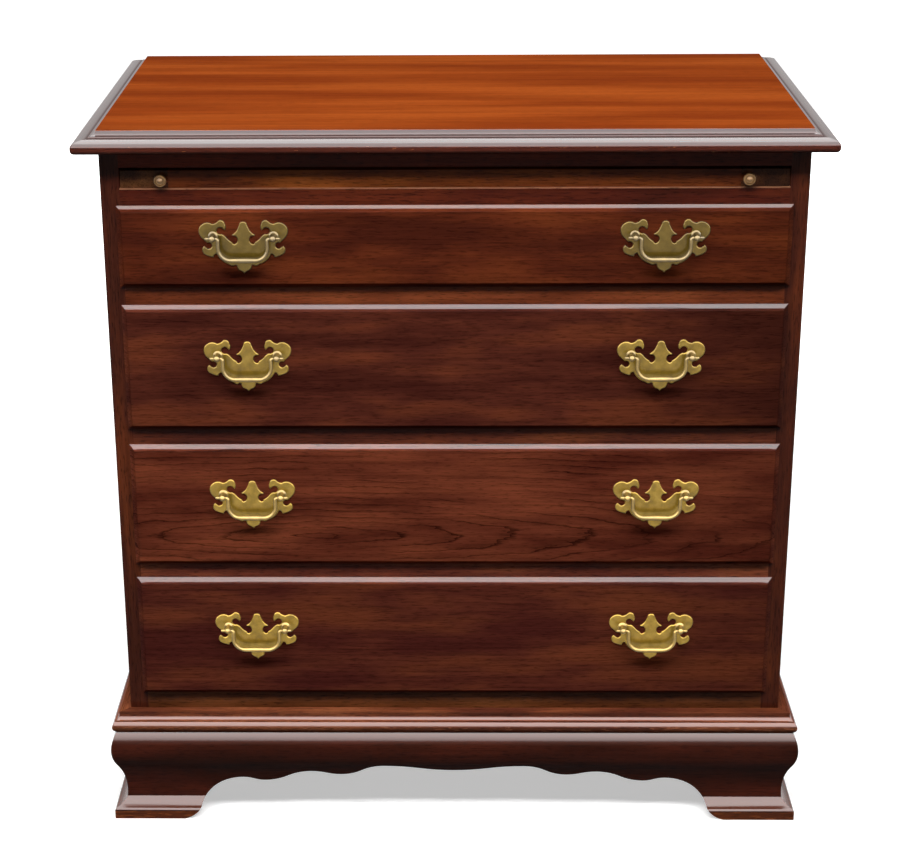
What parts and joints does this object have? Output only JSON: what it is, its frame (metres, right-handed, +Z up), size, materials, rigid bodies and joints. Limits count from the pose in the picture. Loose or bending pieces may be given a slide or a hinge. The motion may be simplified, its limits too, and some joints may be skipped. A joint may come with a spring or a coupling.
{
  "type": "bachelor chest",
  "caption": "Small chest of lipped drawers with brass bail pulls, a pull-out slide under a moulded top, and an ogee bracket base with a scalloped apron.",
  "frame": {"origin": "on the floor, at the middle of the box around the chest", "axes": "+Z up, +X to the chest's left as it faces out, so to the viewer's right, +Y from the front to the back"},
  "size_m": [0.787, 0.457, 0.802],
  "materials": {
    "case_wood": "dark red-brown stained wood, satin lacquer",
    "top_wood": "orange-brown stained wood, satin lacquer",
    "drawer_wood": "dark red-brown stained wood with level grain, satin lacquer",
    "slide_wood": "brown stained wood, satin lacquer",
    "slide_end_wood": "dark end grain, satin lacquer",
    "secondary_wood": "plain unstained wood",
    "back_ply": "thin plywood, unfinished",
    "brass": "aged satin brass",
    "steel": "plain steel"
  },
  "bodies": {
    "case": {"top_board": "top_wood", "top_screws": "steel", "left_side": "case_wood", "right_side": "case_wood", "back_panel": "back_ply", "top_rail": "case_wood", "slide_rail": "case_wood", "rail_below_drawer_1": "case_wood", "rail_below_drawer_2": "case_wood", "rail_below_drawer_3": "case_wood", "bottom_rail": "case_wood", "back_rails": "secondary_wood", "side_runners": "secondary_wood", "base_moulding_front": "case_wood", "base_moulding_left": "case_wood", "base_moulding_right": "case_wood", "base_back_rail": "secondary_wood", "ogee_base_front": "case_wood", "ogee_base_left": "case_wood", "ogee_base_right": "case_wood", "rear_feet": "secondary_wood", "corner_blocks": "secondary_wood"},
    "slide": {"slide_panel": "slide_wood", "slide_end_left": "slide_end_wood", "slide_end_right": "slide_end_wood", "slide_stops": "secondary_wood", "slide_knobs": "brass"},
    "drawer_1": {"drawer_1_front": "drawer_wood", "drawer_1_sides": "secondary_wood", "drawer_1_back": "secondary_wood", "drawer_1_bottom": "secondary_wood", "drawer_1_pull_plates": "brass", "drawer_1_pull_posts": "brass"},
    "drawer_1_left_bail": {"drawer_1_left_bail": "brass"},
    "drawer_1_right_bail": {"drawer_1_right_bail": "brass"},
    "drawer_2": {"drawer_2_front": "drawer_wood", "drawer_2_sides": "secondary_wood", "drawer_2_back": "secondary_wood", "drawer_2_bottom": "secondary_wood", "drawer_2_pull_plates": "brass", "drawer_2_pull_posts": "brass"},
    "drawer_2_left_bail": {"drawer_2_left_bail": "brass"},
    "drawer_2_right_bail": {"drawer_2_right_bail": "brass"},
    "drawer_3": {"drawer_3_front": "drawer_wood", "drawer_3_sides": "secondary_wood", "drawer_3_back": "secondary_wood", "drawer_3_bottom": "secondary_wood", "drawer_3_pull_plates": "brass", "drawer_3_pull_posts": "brass"},
    "drawer_3_left_bail": {"drawer_3_left_bail": "brass"},
    "drawer_3_right_bail": {"drawer_3_right_bail": "brass"},
    "drawer_4": {"drawer_4_front": "drawer_wood", "drawer_4_sides": "secondary_wood", "drawer_4_back": "secondary_wood", "drawer_4_bottom": "secondary_wood", "drawer_4_pull_plates": "brass", "drawer_4_pull_posts": "brass"},
    "drawer_4_left_bail": {"drawer_4_left_bail": "brass"},
    "drawer_4_right_bail": {"drawer_4_right_bail": "brass"}
  },
  "joints": [
    {"name": "slide_out", "type": "slide", "parent": "case", "child": "slide", "axis": [0, -1, 0], "range_m": [0, 0.28]},
    {"name": "drawer_1_out", "type": "slide", "parent": "case", "child": "drawer_1", "axis": [0, -1, 0], "range_m": [0, 0.3]},
    {"name": "drawer_1_left_bail_swing", "type": "hinge", "parent": "drawer_1", "child": "drawer_1_left_bail", "pos_m": [-0.22, -0.2244, 0.6916], "axis": [-1, 0, 0], "range_deg": [-18, 150]},
    {"name": "drawer_1_right_bail_swing", "type": "hinge", "parent": "drawer_1", "child": "drawer_1_right_bail", "pos_m": [0.22, -0.2244, 0.6916], "axis": [-1, 0, 0], "range_deg": [-18, 150]},
    {"name": "drawer_2_out", "type": "slide", "parent": "case", "child": "drawer_2", "axis": [0, -1, 0], "range_m": [0, 0.3]},
    {"name": "drawer_2_left_bail_swing", "type": "hinge", "parent": "drawer_2", "child": "drawer_2_left_bail", "pos_m": [-0.22, -0.2244, 0.5601], "axis": [-1, 0, 0], "range_deg": [-18, 150]},
    {"name": "drawer_2_right_bail_swing", "type": "hinge", "parent": "drawer_2", "child": "drawer_2_right_bail", "pos_m": [0.22, -0.2244, 0.5601], "axis": [-1, 0, 0], "range_deg": [-18, 150]},
    {"name": "drawer_3_out", "type": "slide", "parent": "case", "child": "drawer_3", "axis": [0, -1, 0], "range_m": [0, 0.3]},
    {"name": "drawer_3_left_bail_swing", "type": "hinge", "parent": "drawer_3", "child": "drawer_3_left_bail", "pos_m": [-0.22, -0.2244, 0.4001], "axis": [-1, 0, 0], "range_deg": [-18, 150]},
    {"name": "drawer_3_right_bail_swing", "type": "hinge", "parent": "drawer_3", "child": "drawer_3_right_bail", "pos_m": [0.22, -0.2244, 0.4001], "axis": [-1, 0, 0], "range_deg": [-18, 150]},
    {"name": "drawer_4_out", "type": "slide", "parent": "case", "child": "drawer_4", "axis": [0, -1, 0], "range_m": [0, 0.3]},
    {"name": "drawer_4_left_bail_swing", "type": "hinge", "parent": "drawer_4", "child": "drawer_4_left_bail", "pos_m": [-0.22, -0.2244, 0.2401], "axis": [-1, 0, 0], "range_deg": [-18, 150]},
    {"name": "drawer_4_right_bail_swing", "type": "hinge", "parent": "drawer_4", "child": "drawer_4_right_bail", "pos_m": [0.22, -0.2244, 0.2401], "axis": [-1, 0, 0], "range_deg": [-18, 150]}
  ]
}
